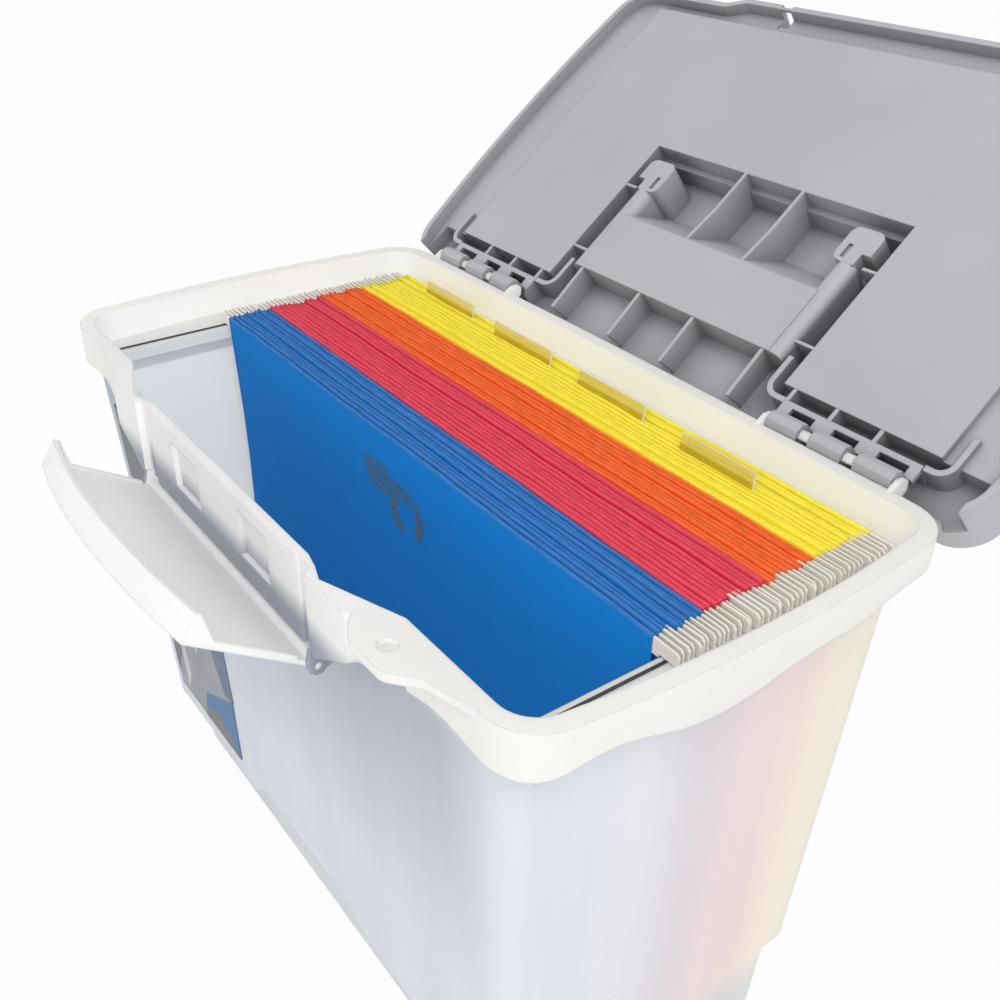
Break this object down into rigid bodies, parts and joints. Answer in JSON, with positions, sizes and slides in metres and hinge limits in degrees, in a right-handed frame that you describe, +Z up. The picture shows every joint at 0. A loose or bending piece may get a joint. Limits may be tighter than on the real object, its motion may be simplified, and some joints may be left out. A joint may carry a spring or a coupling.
{
  "type": "portable file box",
  "caption": "Portable letter-size file box: translucent tub with hanging rails and folders, hinged lid with carry handle and organizer trays, swing-down latch.",
  "frame": {"origin": "centre of the tub's base, on the face it stands on", "axes": "+X to the right seen from the front, +Y to the back (hinge side), +Z up"},
  "size_m": [0.3546, 0.4115, 0.3756],
  "materials": {
    "frosted_plastic": "frosted",
    "latch_plastic": "frosted",
    "grey_plastic": "satin",
    "cover_plastic": "satin",
    "handle_plastic": "satin",
    "rail_steel": "dark",
    "rod_coating": "coated",
    "label_paper": "printed card",
    "blue_paper": "paper",
    "red_paper": "paper",
    "orange_paper": "paper",
    "yellow_paper": "paper",
    "clear_tab": "clear"
  },
  "bodies": {
    "tub": {"tub_shell": "frosted_plastic", "hanging_rail_left": "rail_steel", "hanging_rail_right": "rail_steel", "front_label_card": "label_paper"},
    "lid": {"lid_frame": "grey_plastic"},
    "handle": {"carry_handle": "handle_plastic"},
    "right_cover": {"organizer_cover_right": "cover_plastic"},
    "left_cover": {"organizer_cover_left": "cover_plastic"},
    "latch": {"front_latch": "latch_plastic"},
    "blue_folders": {"blue_folder_1": "blue_paper", "blue_folder_2": "blue_paper", "blue_folder_3": "blue_paper", "blue_folder_4": "blue_paper", "blue_folder_5": "blue_paper", "blue_folder_rods": "rod_coating"},
    "red_folders": {"red_folder_1": "red_paper", "red_folder_2": "red_paper", "red_folder_3": "red_paper", "red_folder_4": "red_paper", "red_folder_5": "red_paper", "red_folder_6": "red_paper", "red_folder_rods": "rod_coating"},
    "orange_folders": {"orange_folder_1": "orange_paper", "orange_folder_2": "orange_paper", "orange_folder_3": "orange_paper", "orange_folder_4": "orange_paper", "orange_folder_5": "orange_paper", "orange_folder_rods": "rod_coating"},
    "yellow_folders": {"yellow_folder_1": "yellow_paper", "yellow_folder_2": "yellow_paper", "yellow_folder_3": "yellow_paper", "yellow_folder_4": "yellow_paper", "yellow_folder_5": "yellow_paper", "yellow_folder_6": "yellow_paper", "yellow_folder_rods": "rod_coating", "index_tabs": "clear_tab"}
  },
  "joints": [
    {"name": "lid_hinge", "type": "hinge", "parent": "tub", "child": "lid", "pos_m": [0, 0.09725, 0.2559], "axis": [-1, 0, 0], "range_deg": [-142, 0]},
    {"name": "handle_pivot", "type": "hinge", "parent": "lid", "child": "handle", "pos_m": [0, 0.17284, 0.29849], "axis": [1, 0, 0], "range_deg": [-52, 38]},
    {"name": "right_cover_hinge", "type": "hinge", "parent": "lid", "child": "right_cover", "pos_m": [0.163, 0.18512, 0.29323], "axis": [0, -0.7885, -0.615], "range_deg": [0, 90]},
    {"name": "left_cover_hinge", "type": "hinge", "parent": "lid", "child": "left_cover", "pos_m": [-0.163, 0.18512, 0.29323], "axis": [0, 0.7885, 0.615], "range_deg": [0, 90]},
    {"name": "latch_hinge", "type": "hinge", "parent": "tub", "child": "latch", "pos_m": [0, -0.0973, 0.2176], "axis": [-1, 0, 0], "range_deg": [0, 57]},
    {"name": "blue_folder_lift", "type": "slide", "parent": "tub", "child": "blue_folders", "axis": [0, 0, 1], "range_m": [0, 0.27]},
    {"name": "red_folder_lift", "type": "slide", "parent": "tub", "child": "red_folders", "axis": [0, 0.042, 0.9991], "range_m": [0, 0.27]},
    {"name": "orange_folder_lift", "type": "slide", "parent": "tub", "child": "orange_folders", "axis": [0, 0.0817, 0.9967], "range_m": [0, 0.27]},
    {"name": "yellow_folder_lift", "type": "slide", "parent": "tub", "child": "yellow_folders", "axis": [0, 0.1191, 0.9929], "range_m": [0, 0.27]}
  ]
}
